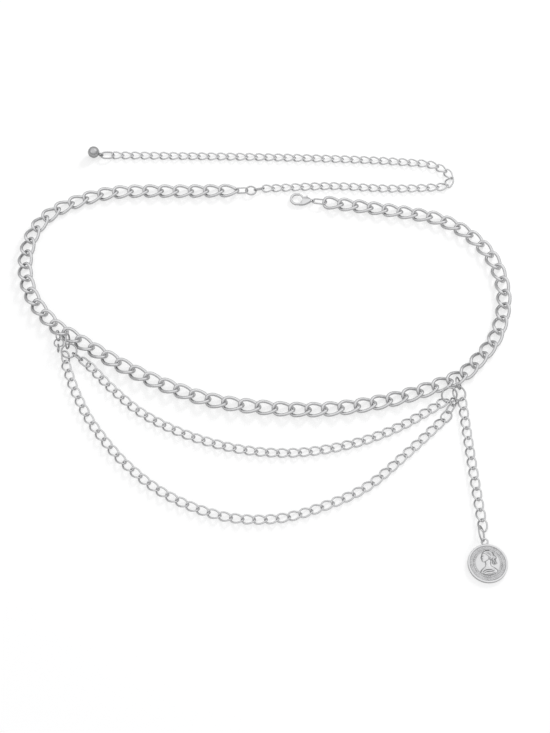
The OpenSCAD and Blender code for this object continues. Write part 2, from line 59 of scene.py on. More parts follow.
# Routes of the chains on the floor, in millimetres, and how many links each has.
MAIN_ROUTE = [
    (-22, 116), (-51, 115.5), (-81, 115.5), (-101, 113.5), (-120, 107), (-136, 97), (-146, 81),
    (-148.5, 57), (-142, 34), (-128, 15), (-115.5, 5.5), (-82, -16), (-55, -29.5), (-26, -39.5),
    (13, -44.5), (45, -44), (81, -37), (116, -23.5), (129, -12), (142, 6), (149, 32), (146, 58),
    (134, 78), (115, 92), (93, 98), (64, 103), (45.5, 105.8),
]
MAIN_STOPS = [(0, 0), (23, 10), (37, 14), (48, 17), (70, 26)]
UPPER_ROUTE = [
    (-102, -16), (-88, -31), (-69, -47.5), (-42, -61.5), (-11, -70.5), (20, -72.5), (52, -67),
    (80, -56), (106.7, -39.7),
]
LOWER_ROUTE = [
    (-117, -15), (-110, -33), (-98, -55), (-77, -80.5), (-51, -100.5), (-20, -112.5),
    (10, -113.5), (37, -105.5), (61, -93.5), (84, -73), (104, -53.5),
]
DROP_ROUTE = [(118.4, -40.4), (120.5, -73), (122.5, -99), (124, -118)]
EXTENSION_ROUTE = [
    (-95.8, 146), (-60, 145.5), (0, 144.5), (59, 142.5), (96, 140), (112, 137.5), (121.5, 130),
    (120.5, 122), (111, 119.5), (81, 118.5), (44, 120.5), (3.6, 118.6),
]
UPPER_LINKS, LOWER_LINKS, DROP_LINKS, EXTENSION_LINKS = 38, 45, 13, 56
# Steps from one point of a route to the next, and of a line on the coin
STEPS_PER_SPAN, CURVE_STEPS = 10, 8
# How squarely the links are rounded: 2 is an ellipse
MAIN_BLUNTNESS, SMALL_BLUNTNESS = 2.6, 2.4
# Sides of a link along its loop and round its wire
MAIN_MESH, SMALL_MESH, EXTENSION_MESH, LOOP_MESH = (64, 16), (56, 14), (48, 12), (72, 16)

# Rings and joining links: node, place and lift off the floor, turn, clear width, clear length,
# wire, and where round the loop the two ends of the wire meet, in degrees.
RING_WIRE, FINE_WIRE, STEP_WIRE = 1.0, 0.8, 0.9
LOOPS = [
    ("hook_ring", (-117, 0.5, 0), (4, 85, 0), 7.8, 7.8, RING_WIRE, 200),
    ("left_ring", (-116, -4.8, 1.5), (5, 0, 0), 8.2, 8.2, RING_WIRE, 150),
    ("left_link_upper", (-110.6, -8.9, 0), (-58, -3, -44), 3.6, 6.6, RING_WIRE, 90),
    ("left_link_upper_end", (-106.1, -12.3, 0.5), (-14, 8, -39), 3.6, 6.6, RING_WIRE, 270),
    ("left_link_lower", (-117.9, -8.9, 0), (-32, 9, -82), 3.6, 6.6, RING_WIRE, 90),
    ("spare_ring_top", (-123.3, 5.1, 0.3), (0, 77, 0), 5.4, 5.4, FINE_WIRE, 20),
    ("spare_ring_middle", (-122.6, 0.8, 2.1), (0, 0, 0), 4.8, 4.8, FINE_WIRE, 185),
    ("spare_ring_end", (-122.6, -3.1, 0), (0, 90, 0), 3.8, 3.8, FINE_WIRE, 60),
    ("right_hook_ring", (116.6, -27.9, 0), (-1, 62, 0), 6.2, 6.2, RING_WIRE, 160),
    ("right_drop_ring", (116.8, -34.3, 0.3), (-2, 27, -27), 7.6, 7.6, RING_WIRE, 10),
    ("right_big_ring", (110.7, -35.9, 0.3), (41, -1, 9), 8, 8, RING_WIRE, 215),
    ("right_link_a", (113, -39.6, 0), (29, 16, 71), 3.1, 5.1, STEP_WIRE, 270),
    ("right_link_b", (110.9, -44.2, 0.6), (-36, -3, 62), 3.5, 5.7, STEP_WIRE, 90),
    ("right_end_link", (108.3, -49.1, 0), (24, -4, 45), 4.4, 6.2, RING_WIRE, 270),
    ("clasp_link", (36.7, 107.3, 0.9), (-19, -3, -11), 4.2, 8.2, STEP_WIRE, 270),
    ("extension_ring", (-7.6, 116.4, 1.3), (0, 4, 0), 5.6, 5.6, RING_WIRE, 250),
    ("main_connector", (-13.7, 116.2, 0.15), (72, 0, 3), 3, 7.2, FINE_WIRE, 270),
    ("extension_connector", (-2.3, 117.9, 0), (111, 2, 14), 1.9, 5.9, FINE_WIRE, 90),
    ("end_link", (-102.7, 145.85, 0.4), (-12, 4, 5), 5.4, 7.4, RING_WIRE, 90),
    ("coin_ring", (122.6, -123.9, 0), (4, 63, 6), 7.8, 7.8, STEP_WIRE, 330),
]

# Ball at the end of the extension
BALL_D, BALL_PLACE, BALL_EYE_TURN = 7.5, (-111.6, 146.8), (22, -8)
BALL_EYE_HOLE = 1.7

# Clasp: its own frame has the middle of the hook at the origin and the tail along +X.
CLASP_PLACE, CLASP_TURN = (22.3, 109.8, 1.5), -8.9
BODY_H = 3.0
PIVOT, RIVET_D = (5.6, 0.4), 0.9

# Coin
COIN_R, COIN_H, RIM_W, FIELD_DEPTH, BEAD_D, BUST_H = 11.0, 1.7, 0.9, 0.35, 1.1, 0.55
COIN_PLACE, COIN_TILT = (125.1, -140.4), 3.5
COIN_LOOP_X, COIN_LOOP_HOLE, COIN_LOOP_WIRE = -0.8, 2.6, 0.9
BEADS = 36


class ChainSizes(bpy.types.PropertyGroup):
    """Sizes of the wires that the chains are made of."""

    main_wire: bpy.props.FloatProperty(
        name="Main wire", description="Thickness of the wire of a large curb link", default=0.0019,
        min=0.0016, max=0.002, precision=5, unit="LENGTH")
    main_hole: bpy.props.FloatVectorProperty(
        name="Main opening", description="Clear length and width inside a large curb link", size=2,
        default=(0.0102, 0.0057), precision=5, unit="LENGTH")
    small_wire: bpy.props.FloatProperty(
        name="Small wire", description="Thickness of the wire of a small curb link", default=0.001,
        min=0.0008, max=0.0011, precision=5, unit="LENGTH")
    small_hole: bpy.props.FloatVectorProperty(
        name="Small opening", description="Clear length and width inside a small curb link",
        size=2, default=(0.00674, 0.0039), precision=5, unit="LENGTH")
    curb_turn: bpy.props.FloatProperty(
        name="Curb turn", description="How far each end of a curb link is turned out of the flat",
        default=radians(42), min=radians(39), max=radians(45), unit="ROTATION")
    seam: bpy.props.FloatProperty(
        name="Ring seam", description="Gap where the two ends of a ring's wire meet",
        default=0.00006, min=0.0, max=0.0002, precision=6, unit="LENGTH")


class SilverFinish(bpy.types.PropertyGroup):
    """Colours of the silver, the colour of its painted shade, and its roughness."""

    bright: bpy.props.FloatVectorProperty(
        name="Bright silver", description="Colour of clean polished silver", size=3,
        default=(0.86, 0.86, 0.865), min=0.0, max=1.0, subtype="COLOR")
    # Colour that the painted shade in joints and hollows darkens the silver towards; the random
    # darker tone of the links leans towards it too.
    dull: bpy.props.FloatVectorProperty(
        name="Shade and tone colour", description="Colour of the painted shade in joints and hollows, which the random darker tone of the links leans to as well",
        size=3, default=(0.42, 0.42, 0.425), min=0.0, max=1.0, subtype="COLOR")
    polish: bpy.props.FloatProperty(
        name="Polished roughness", description="Roughness of the polished wires", default=0.12,
        min=0.0, max=1.0, subtype="FACTOR")
    satin: bpy.props.FloatProperty(
        name="Coin roughness", description="Roughness of the struck coin", default=0.3, min=0.0,
        max=1.0, subtype="FACTOR")


class StudioLook(bpy.types.PropertyGroup):
    """Floor and lights."""

    floor: bpy.props.FloatVectorProperty(
        name="Floor", description="Colour of the pale floor", size=3, default=(0.4, 0.4, 0.4),
        min=0.0, max=1.0, subtype="COLOR")
    glow: bpy.props.FloatProperty(
        name="Floor glow", description="Light that comes through the floor, as from a light table",
        default=0.635, min=0.0)
    key: bpy.props.FloatProperty(
        name="Key light", description="Power of the soft light from the upper right", default=6.0,
        min=0.0, unit="POWER")
    sky: bpy.props.FloatProperty(
        name="Surround", description="Strength of the soft light from all round", default=1.0,
        min=0.0)


def unit(v):
    """Vectors of length 1."""
    return v / np.linalg.norm(v, axis=-1, keepdims=True)


def turn_matrix(degrees_xyz):
    """Turns about X, then Y, then Z, as the source does."""
    return np.array(Euler([radians(d) for d in degrees_xyz], "XYZ").to_matrix())


def grid(rows, cols, row_length=0.0, girth=0.0, close_rows=True):
    """Quads between rows of corners that are closed into loops, and for each corner of those
    quads its length along the wire and round it, in millimetres."""
    count = rows if close_rows else rows - 1
    s, i = np.meshgrid(np.arange(count), np.arange(cols), indexing="ij")
    t, j = (s + 1) % rows, (i + 1) % cols
    quads = np.stack([s * cols + i, t * cols + i, t * cols + j, s * cols + j], -1)
    u = np.stack([s, s + 1, s + 1, s], -1) * row_length
    v = np.stack([i, i, i + 1, i + 1], -1) * (girth / cols)
    return quads.reshape(-1, 4), np.stack([u, v], -1).reshape(-1, 4, 2)


class Shape:
    """Corners in millimetres, faces and wire coordinates, gathered before they become a mesh."""

    def __init__(self):
        self.corners, self.faces, self.uvs, self.count = [], [], [], 0
        self.tones, self.recesses = [], []

    def add(self, corners, quads, uvs, tone=0.5, recess=0.0):
        """Adds corners with their quads, their random tone, and how much painted shade their
        recesses get.
        """
        corners = corners.reshape(-1, 3)
        self.faces.append(quads + self.count)
        self.uvs.append(uvs)
        self.corners.append(corners)
        self.tones.append(np.full(len(corners), tone))
        self.recesses.append(np.broadcast_to(recess, len(corners)))
        self.count += len(corners)

    def add_rows(self, rings, row_length, girth, close_rows=True):
        """Adds rows of corners, each closed into a loop, with quads from row to row."""
        self.add(rings, *grid(*rings.shape[:2], row_length, girth, close_rows))

    def object(self, name, material, body=CHAIN):
        """The finished piece: welded where faces have fewer corners than four, smooth shaded."""
        corners = np.concatenate(self.corners) * MM
        faces = np.concatenate(self.faces)
        mesh = bpy.data.meshes.new(name)
        mesh.from_pydata(corners, [], faces)
        layer = mesh.uv_layers.new(name="wire")
        layer.uv.foreach_set("vector", np.concatenate(self.uvs).ravel().astype(np.float32))
        for attribute, values in (("tone", self.tones), ("recess", self.recesses)):
            made = mesh.attributes.new(attribute, "FLOAT", "POINT")
            made.data.foreach_set("value", np.concatenate(values).astype(np.float32))
        welded = bmesh.new()
        welded.from_mesh(mesh)
        bmesh.ops.remove_doubles(welded, verts=welded.verts, dist=1e-8)
        welded.to_mesh(mesh)
        welded.free()
        mesh.polygons.foreach_set("use_smooth", np.ones(len(mesh.polygons), bool))
        mesh.materials.append(material)
        piece = bpy.data.objects.new(name, mesh)
        bpy.context.scene.collection.objects.link(piece)
        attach(piece, body)
        return piece


def placed(rings, turn, place):
    """Rings of corners turned by a matrix and moved to their place."""
    return (rings.reshape(-1, 3) @ turn.T + place).reshape(rings.shape)


def circle(count):
    """Cosines and sines of equal steps round a circle, each as one column."""
    g = 2 * pi * np.arange(count) / count
    return np.cos(g)[:, None], np.sin(g)[:, None]


def tube_rings(middle, side, up, radius, sides):
    """Rings of corners of a round wire along a line; radius may change along it."""
    c, s = circle(sides)
    r = np.broadcast_to(radius, (len(middle),))[:, None, None]
    return middle[:, None] + r * (c * side[:, None] + s * up[:, None])


def lathe_rings(profile, centre, axis, side, over, around):
    """Rings of corners of a turned form; the profile holds distances along the axis and out."""
    c, s = circle(around)
    return np.array([centre + along * axis + out * (c * side + s * over)
                     for along, out in profile])


def round_ring(centre, right, over, up, radius, wire, stations, sides):
    """Rings of corners of a closed ring of round wire."""
    c, s = circle(stations)
    outward = c * right + s * over
    up = np.broadcast_to(up, outward.shape)
    return tube_rings(centre + radius * outward, outward, up, wire / 2, sides)


def curb_link(half_length, half_width, wire, turn, bluntness, stations, sides):
    """Rings of corners of one curb link: a blunt oval whose ends are turned, on the floor."""

    def middle_at(t):
        """Points of the middle of the wire at angles round the link."""
        c, s = np.cos(t), np.sin(t)
        r = (np.abs(c) ** bluntness + np.abs(s) ** bluntness) ** (-1 / bluntness)
        w = -turn * r * c
        return np.stack([half_length * r * c, half_width * r * s * np.cos(w),
                         half_width * r * s * np.sin(w)], -1)

    t = 2 * pi * np.arange(stations) / stations
    step = 0.01
    middle = middle_at(t)
    along = unit(middle_at(t + step) - middle_at(t - step))
    side = unit(np.cross(along, UP))
    up = np.cross(side, along)
    rings = tube_rings(middle, side, up, wire / 2, sides)
    rings[..., 2] -= rings[..., 2].min()
    return rings


def smooth_curve(points, closed=False, steps=CURVE_STEPS):
    """Smooth curve through points; a closed one comes back to its first point."""
    p = np.array(points, float)
    p = np.vstack([p[-1], p, p[:2]] if closed else [2 * p[0] - p[1], p, 2 * p[-1] - p[-2]])
    u = (np.arange(steps) / steps)[:, None]
    spans = [(2 * b + (c - a) * u + (2 * a - 5 * b + 4 * c - d) * u**2
              + (3 * b - a - 3 * c + d) * u**3) / 2
             for a, b, c, d in zip(p, p[1:], p[2:], p[3:])]
    return np.vstack([*spans, p[-2]])


def link_places(points, stops):
    """x, y and heading of each link of a chain that follows a route."""
    run = smooth_curve(points, steps=STEPS_PER_SPAN)
    length = np.concatenate([[0], np.cumsum(np.hypot(*np.diff(run, axis=0).T))])
    count = stops[-1][0] + 1
    pitch = length[-1] / (count - 1)
    ahead, behind = unit(run[-1] - run[-2]), unit(run[1] - run[0])

    def walk(s):
        """Points at lengths along the route, which runs on straight past its two ends."""
        inside = np.stack([np.interp(s, length, run[:, 0]), np.interp(s, length, run[:, 1])], -1)
        over = np.maximum(s - length[-1], 0)[:, None] * ahead
        return inside + over + np.minimum(s, 0)[:, None] * behind

    s = np.interp(np.arange(count), [k for k, _ in stops],
                  [length[point * STEPS_PER_SPAN] for _, point in stops])
    chord = walk(s + pitch / 2) - walk(s - pitch / 2)
    return np.column_stack([walk(s), np.arctan2(chord[:, 1], chord[:, 0])])


def set_link(rings, place):
    """Turns a link to its heading and moves it to its place."""
    x, y, heading = place
    c, s = cos(heading), sin(heading)
    return rings @ np.array([[c, s, 0], [-s, c, 0], [0, 0, 1]]) + [x, y, 0]


def curb_chain(name, cad_node, places, hole, wire, bluntness, sides_of_link, material, lifts=None):
    """One chain of separate curb links, as a piece that replaces its CAD node."""
    sizes = bpy.context.scene.waist_chain_sizes
    stations, sides = sides_of_link
    wire = wire / MM
    half_length, half_width = (h / MM / 2 + wire / 2 for h in hole)
    link = curb_link(half_length, half_width, wire, sizes.curb_turn, bluntness, stations, sides)
    length = 2 * pi * sqrt((half_length**2 + half_width**2) / 2)
    quads, uvs = grid(stations, sides, length / stations, pi * wire)
    tones = np.random.default_rng(11).uniform(0, 1, len(places))
    shape = Shape()
    for k, place in enumerate(places):
        rings = link.copy()
        if lifts and k in lifts:
            lift, slope = lifts[k]
            rings[..., 2] += lift + slope * rings[..., 0]
        shape.add(set_link(rings, place), quads, uvs + [37.0 * k, 0], tones[k])
    piece = shape.object(name, material)
    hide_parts(cad_node)


def small_chain(name, cad_node, route, count, sides_of_link=SMALL_MESH, lifts=None):
    """One chain of small curb links, spread evenly along its route."""
    sizes = bpy.context.scene.waist_chain_sizes
    places = link_places(route, [(0, 0), (count - 1, len(route) - 1)])
    curb_chain(name, cad_node, places, sizes.small_hole, sizes.small_wire, SMALL_BLUNTNESS,
               sides_of_link, silver("fine_wire_silver"), lifts)


def loop_line(hole_w, hole_len, wire, stations, start, gap):
    """Middle and outward direction of a loop's wire, from one side of its seam to the other."""
    r, straight = (hole_w + wire) / 2, hole_len - hole_w
    whole = 2 * pi * r + 2 * straight
    # The wire's ends are filed round over this reach: distances from the end, and thickness there
    reach = wire / 2 * 0.35
    ends = np.array([0.0, 0.012, 0.06, reach])
    taper = np.array([0.80, 0.93, 1.0])
    inner = np.linspace(reach, whole - gap - reach, stations)
    s = np.concatenate([ends[:-1], inner, whole - gap - ends[:-1][::-1]])
    seam = radians(start) * r + (1.5 if start > 180 else 0.5) * straight
    s = (s + gap / 2 + seam) % whole
    # From the right along the top arc, back along the top, and the same turned by half a turn
    middle, outward = [], []
    for d in s:
        half, along = divmod(d, whole / 2)
        if along < pi * r:
            n = np.array([cos(along / r - pi / 2), sin(along / r - pi / 2), 0])
            p = r * n + [straight / 2, 0, 0]
        else:
            n = FORWARD
            p = np.array([straight / 2 - (along - pi * r), r, 0])
        middle.append(p * (1 - 2 * half))
        outward.append(n * (1 - 2 * half))
    radius = np.concatenate([taper, np.ones(stations), taper[::-1]]) * wire / 2
    return np.array(middle), np.array(outward), radius, whole


def wire_loop(shape, place, turn, hole_w, hole_len, wire, start):
    """A loop of round wire with its two filed ends a hair apart, turned and set in place."""
    stations, sides = LOOP_MESH
    gap = bpy.context.scene.waist_chain_sizes.seam / MM
    middle, outward, radius, whole = loop_line(hole_w, hole_len, wire, stations, start, gap)
    rings = tube_rings(middle, outward, np.broadcast_to(UP, middle.shape), radius, sides)

    def drawn_in(end, share):
        """The wire's last ring, drawn in towards the middle of the wire to close it."""
        return middle[[end]][:, None] + (rings[[end]] - middle[[end]][:, None]) * share

    rings = np.concatenate(
        [drawn_in(0, 0), drawn_in(0, 0.5), rings, drawn_in(-1, 0.5), drawn_in(-1, 0)])
    shape.add_rows(placed(rings, turn_matrix(turn), place), whole / len(rings), pi * wire, False)


def lowest_lift(turn, hole_w, hole_len, wire):
    """Height of a turned loop's middle when its lowest point touches z = 0."""
    flat = cos(radians(turn[0])) * cos(radians(turn[1]))
    return (wire / 2 + (hole_w + wire) / 2 * sqrt(1 - flat * flat)
            + (hole_len - hole_w) / 2 * abs(sin(radians(turn[1]))))


def new_group(name, inputs, outputs):
    """A shader node group, the sockets that bring its inputs, and the node for its outputs."""
    tree = bpy.data.node_groups.new(name, "ShaderNodeTree")
    for way, sockets in (("INPUT", inputs), ("OUTPUT", outputs)):
        for socket, default in sockets.items():
            kind = "NodeSocketColor" if hasattr(default, "__len__") else "NodeSocketFloat"
            made = tree.interface.new_socket(name=socket, in_out=way, socket_type=kind)
            made.default_value = default
    return tree, tree.nodes.new("NodeGroupInput").outputs, tree.nodes.new("NodeGroupOutput")


def feed(made, inputs):
    """Sets the inputs of a node to values, or joins them to the sockets that feed them."""
    for key, value in inputs.items():
        socket = made.inputs[int(key[1:]) if key[0] == "_" and key[1:].isdigit() else key]
        if isinstance(value, bpy.types.NodeSocket):
            made.id_data.links.new(value, socket)
        else:
            socket.default_value = value


def node(tree, kind, settings=None, **inputs):
    """Adds a node; inputs are for feed(), settings are the node's own choices."""
    made = tree.nodes.new(kind)
    for key, value in (settings or {}).items():
        setattr(made, key, value)
    feed(made, inputs)
    return made


def math(tree, operation, a, b, clamp=False):
    """Output of a maths node."""
    made = node(tree, "ShaderNodeMath", {"operation": operation, "use_clamp": clamp}, _0=a, _1=b)
    return made.outputs[0]


def blend_colour(tree, share, a, b):
    """Colour a where share is 0, and b where it is 1."""
    made = node(tree, "ShaderNodeMix", {"data_type": "RGBA"}, _0=share, _6=a, _7=b)
    return made.outputs[2]


def stretch(tree, value, low, high, to_low, to_high):
    """Carries the range low to high over to another range, clamped."""
    made = node(tree, "ShaderNodeMapRange", None, _0=value, _1=low, _2=high, _3=to_low, _4=to_high)
    return made.outputs[0]


def noise(tree, place, scale, detail):
    """Value of a noise texture at a place."""
    made = node(tree, "ShaderNodeTexNoise", None, Vector=place, Scale=scale, Detail=detail)
    return made.outputs[0]


def drawn_wire_group():
    """Fine lines along the wire from drawing, tiny nicks, and a soft unevenness of the polish."""
    tree, given, out = new_group(
        "drawn_wire", {"Line Depth": 0.5, "Nick Depth": 0.5, "Patchiness": 0.5},
        {"Height": 0.0, "Roughness Change": 0.0})
    uv = node(tree, "ShaderNodeUVMap", {"uv_map": "wire"}).outputs[0]
    place = node(tree, "ShaderNodeTexCoord").outputs["Object"]
    lines = node(tree, "ShaderNodeMapping", None, Vector=uv, Scale=(0.25, 9.0, 1.0)).outputs[0]
    drawn = noise(tree, lines, 1.0, 3.0)
    nicks = node(tree, "ShaderNodeTexVoronoi", {"feature": "F1"}, Vector=place,
                 Scale=900.0, Randomness=1.0).outputs["Distance"]
    nick = stretch(tree, nicks, 0.06, 0.16, 1.0, 0.0)
    patch = noise(tree, place, 260.0, 2.0)
    rub = noise(tree, place, 1500.0, 3.0)
    height = math(tree, "SUBTRACT", math(tree, "MULTIPLY", drawn, given["Line Depth"]),
                  math(tree, "MULTIPLY", nick, given["Nick Depth"]))
    uneven = math(tree, "ADD", math(tree, "MULTIPLY", patch, 0.6), math(tree, "MULTIPLY", rub, 0.4))
    change = math(tree, "MULTIPLY", math(tree, "SUBTRACT", uneven, 0.45), given["Patchiness"])
    feed(out, {"Height": height, "Roughness Change": change})
    return tree


def shade_and_tone_silver_group():
    """Silver with painted shade where links touch and in hollows, found by ambient occlusion and
    the recess mask and made patchy, and with a random darker tone for each link.
    """
    tree, given, out = new_group(
        "shade_and_tone_silver", {"Bright": (0.8, 0.8, 0.8, 1), "Dull": (0.35, 0.35, 0.35, 1),
                          "Amount": 0.5, "Recess": 0.0, "Tone": 0.5},
        {"Color": (0, 0, 0, 1), "Dullness": 0.0})
    place = node(tree, "ShaderNodeTexCoord").outputs["Object"]
    # Painted shade: the colour darkens where ambient occlusion finds surfaces close by, in the
    # joints between links and in hollows, and where the recess mask marks the coin's recesses.
    near = node(tree, "ShaderNodeAmbientOcclusion", {"samples": 6}, Distance=0.0016).outputs["AO"]
    hollow = stretch(tree, near, 0.2, 0.85, 1.0, 0.0)
    hollow = math(tree, "MAXIMUM", hollow, given["Recess"])
    cloud = noise(tree, place, 420.0, 4.0)
    spread = stretch(tree, cloud, 0.3, 0.7, 0.55, 1.15)
    hollow_shade = math(tree, "MULTIPLY", math(tree, "MULTIPLY", hollow, spread),
                    given["Amount"], clamp=True)
    tint = stretch(tree, given["Tone"], 0.0, 1.0, 0.0, 0.12)
    # The painted shade and the random tone of each link blend the bright colour towards the shade
    # colour.
    share = math(tree, "ADD", hollow_shade, tint, clamp=True)
    colour = blend_colour(tree, share, given["Bright"], given["Dull"])
    feed(out, {"Color": colour, "Dullness": hollow_shade})
    return tree


def cast_skin_group():
    """The slightly rippled, finely pitted skin of cast and struck silver."""
    tree, given, out = new_group("cast_skin", {"Ripple Depth": 0.5, "Grain Depth": 0.5},
                                 {"Height": 0.0, "Roughness Change": 0.0})
    place = node(tree, "ShaderNodeTexCoord").outputs["Object"]
    ripple = noise(tree, place, 520.0, 2.0)
    grain = noise(tree, place, 5200.0, 3.0)
    height = math(tree, "ADD", math(tree, "MULTIPLY", ripple, given["Ripple Depth"]),
                  math(tree, "MULTIPLY", grain, given["Grain Depth"]))
    change = math(tree, "MULTIPLY", math(tree, "SUBTRACT", ripple, 0.5), 0.2)
    feed(out, {"Height": height, "Roughness Change": change})
    return tree


GROUPS = {
    "drawn_wire": drawn_wire_group,
    "shade_and_tone_silver": shade_and_tone_silver_group,
    "cast_skin": cast_skin_group,
}


def group_node(tree, name, values):
    """A node of one of the shared groups, which is made when it is first asked for."""
    group = bpy.data.node_groups.get(name) or GROUPS[name]()
    return node(tree, "ShaderNodeGroup", {"node_tree": group}, **values)


# Finishes of the silver: skin group and its inputs in their order, which roughness setting and
# how much of it, share of painted shade in hollows, depth of the relief in metres, and how light
# the bright and the shade colour are. These last two make the rings and the ball darker copies of
# the same silver, painted shade, and the coin's bright colour a lighter copy, painted light.
FINISHES = {
    "main_wire_silver": ("drawn_wire", (0.8, 0.5, 0.22), "polish", 1.0, 0.75, 2e-5, 1.0, 1.0),
    "fine_wire_silver": ("drawn_wire", (0.6, 0.35, 0.18), "polish", 1.0, 0.65, 1.2e-5, 1.0, 1.0),
    "ring_wire_silver": ("drawn_wire", (0.4, 0.5, 0.15), "polish", 0.8, 0.7, 1.2e-5, 0.8, 0.7),
    "cast_silver": ("cast_skin", (0.8, 0.15), "polish", 1.0, 0.7, 4e-5, 1.0, 1.0),
    "ball_silver": ("cast_skin", (0.3, 0.05), "polish", 0.7, 0.5, 2e-5, 0.75, 0.6),
    "struck_silver": ("cast_skin", (0.5, 0.35), "satin", 1.0, 1.0, 3e-5, 1.04, 0.5),
}
DULL_ROUGHNESS = 0.3


def silver(name):
    """A silver finish: the skin group gives its relief, the tone and shade group its colour, with
    painted shade in hollows and joints.
    """
    found = bpy.data.materials.get(name)
    if found:
        return found
    skin, skin_values, setting, gloss, amount, bump, clean, dark = FINISHES[name]
    finish = bpy.context.scene.waist_chain_finish
    made = bpy.data.materials.new(name)
    made.use_nodes = True
    tree = made.node_tree
    surface = group_node(tree, skin, {f"_{k}": value for k, value in enumerate(skin_values)})
    values = {
        "Bright": (*[c * clean for c in finish.bright], 1),
        "Dull": (*[c * dark for c in finish.dull], 1),
        "Amount": amount,
    }
    # The meshes carry both; where one is missing it counts as 0.
    for key in ("tone", "recess"):
        mark = node(tree, "ShaderNodeAttribute", {"attribute_name": key})
        values[key.capitalize()] = mark.outputs["Fac"]
    colour = group_node(tree, "shade_and_tone_silver", values)
    # Roughness rises where the painted shade in hollows lies.
    rough = math(tree, "ADD", surface.outputs["Roughness Change"],
                 math(tree, "MULTIPLY", colour.outputs["Dullness"], DULL_ROUGHNESS))
    rough = math(tree, "ADD", rough, getattr(finish, setting) * gloss, clamp=True)
    relief = node(tree, "ShaderNodeBump", None, Strength=1.0, Distance=bump,
                  Height=surface.outputs["Height"])
    feed(tree.nodes["Principled BSDF"], {
        "Metallic": 1.0, "Base Color": colour.outputs["Color"], "Roughness": rough,
        "Normal": relief.outputs[0],
    })
    return made


def distance_to(at, line):
    """Distance of each point from a line, in the line's own unit."""
    best = np.full(len(at), 1e9)
    for a, b in zip(line, line[1:]):
        d = b - a
        t = np.clip(((at - a) @ d) / max(d @ d, 1e-12), 0, 1)
        best = np.minimum(best, np.hypot(*(at - a - t[:, None] * d).T))
    return best


def inside(at, line):
    """Which points a closed line surrounds."""
    x, y = at.T
    hit = np.zeros(len(at), bool)
    for a, b in zip(line, line[1:]):
        crosses = (a[1] > y) != (b[1] > y)
        with np.errstate(divide="ignore", invalid="ignore"):
            hit ^= crosses & (x < (b[0] - a[0]) * (y - a[1]) / (b[1] - a[1]) + a[0])
    return hit


def cushion(at, outline, height, edge):
    """Height of a form with that outline whose edge rounds over within the given width."""
    line = smooth_curve(outline, closed=True)
    depth = np.where(inside(at, line), distance_to(at, line), 0)
    t = np.clip(depth / edge, 0, 1)
    return height * np.sqrt(1 - (1 - t) ** 2)


def stroke(at, points, width):
    """1 on a line and 0 away from it, with a soft edge of that half width."""
    d = distance_to(at, smooth_curve(points)) / width
    return np.exp(-d * d)


def mound(at, centre, size, angle):
    """A soft oval mound of height 1."""
    c, s = cos(radians(angle)), sin(radians(angle))
    x, y = (at - centre).T
    u, v = (c * x + s * y) / size[0], (c * y - s * x) / size[1]
    return np.exp(-(u * u + v * v))


# Outlines of a plain classical bust facing -X, in shares of the coin's radius
SHOULDERS = [
    (-0.36, -0.50), (-0.33, -0.38), (-0.24, -0.27), (-0.12, -0.19), (0.02, -0.17), (0.14, -0.17),
    (0.26, -0.21), (0.38, -0.30), (0.45, -0.40), (0.40, -0.50), (0.22, -0.56), (0.02, -0.59),
    (-0.18, -0.57),
]
NECK = [
    (-0.12, 0.12), (-0.10, 0.03), (-0.10, -0.07), (-0.14, -0.17), (-0.22, -0.27), (-0.1, -0.36),
    (0.1, -0.36), (0.24, -0.25), (0.15, -0.13), (0.12, 0.0), (0.15, 0.14), (0.1, 0.24),
]
FACE = [
    (-0.14, 0.585), (-0.205, 0.53), (-0.245, 0.475), (-0.262, 0.425), (-0.268, 0.392),
    (-0.256, 0.362), (-0.282, 0.315), (-0.322, 0.27), (-0.311, 0.249), (-0.274, 0.238),
    (-0.282, 0.219), (-0.294, 0.203), (-0.277, 0.187), (-0.286, 0.171), (-0.266, 0.148),
    (-0.273, 0.116), (-0.256, 0.084), (-0.215, 0.068), (-0.14, 0.072), (-0.06, 0.10),
    (0.03, 0.16), (0.08, 0.26), (0.10, 0.4), (0.02, 0.56),
]
HAIR = [
    (-0.20, 0.545), (-0.16, 0.605), (-0.07, 0.645), (0.04, 0.65), (0.15, 0.62), (0.24, 0.55),
    (0.285, 0.46), (0.29, 0.36), (0.26, 0.26), (0.20, 0.185), (0.13, 0.165), (0.07, 0.20),
    (0.05, 0.27), (0.00, 0.33), (-0.05, 0.40), (-0.10, 0.47), (-0.15, 0.505),
]
BUN, BUN_R = (0.315, 0.30), 0.1
FOREHEAD_BAND = [
    (-0.185, 0.555), (-0.10, 0.52), (0.0, 0.46), (0.09, 0.39), (0.17, 0.32), (0.24, 0.27),
]
RIBBONS = [
    [(0.25, 0.22), (0.29, 0.13), (0.27, 0.04), (0.31, -0.05)],
    [(0.27, 0.22), (0.34, 0.15), (0.36, 0.06), (0.41, 0.0)],
]
FOLDS = [
    [(-0.31, -0.44), (-0.2, -0.34), (-0.06, -0.29), (0.1, -0.29), (0.25, -0.34)],
    [(-0.27, -0.51), (-0.14, -0.42), (0.02, -0.38), (0.18, -0.4), (0.34, -0.47)],
    [(-0.12, -0.55), (0.02, -0.49), (0.16, -0.5), (0.28, -0.53)],
    [(0.30, -0.27), (0.33, -0.35), (0.36, -0.43), (0.34, -0.5)],
]

# Soft forms of the face: height as a share of the bust's, middle, half sizes and turn
FACE_MOUNDS = [
    (0.10, (-0.19, 0.205), (0.07, 0.09), 0),
    (0.08, (-0.12, 0.27), (0.08, 0.07), 0),
    (0.10, (-0.235, 0.405), (0.05, 0.018), -8),
    (-0.16, (-0.215, 0.365), (0.045, 0.02), -5),
    (0.13, (-0.213, 0.357), (0.026, 0.013), -8),
    (0.10, (-0.283, 0.262), (0.022, 0.016), 0),
    (0.05, (-0.268, 0.2), (0.02, 0.008), 0),
    (0.05, (-0.264, 0.171), (0.018, 0.008), 0),
    (0.06, (-0.245, 0.11), (0.03, 0.025), 0),
]
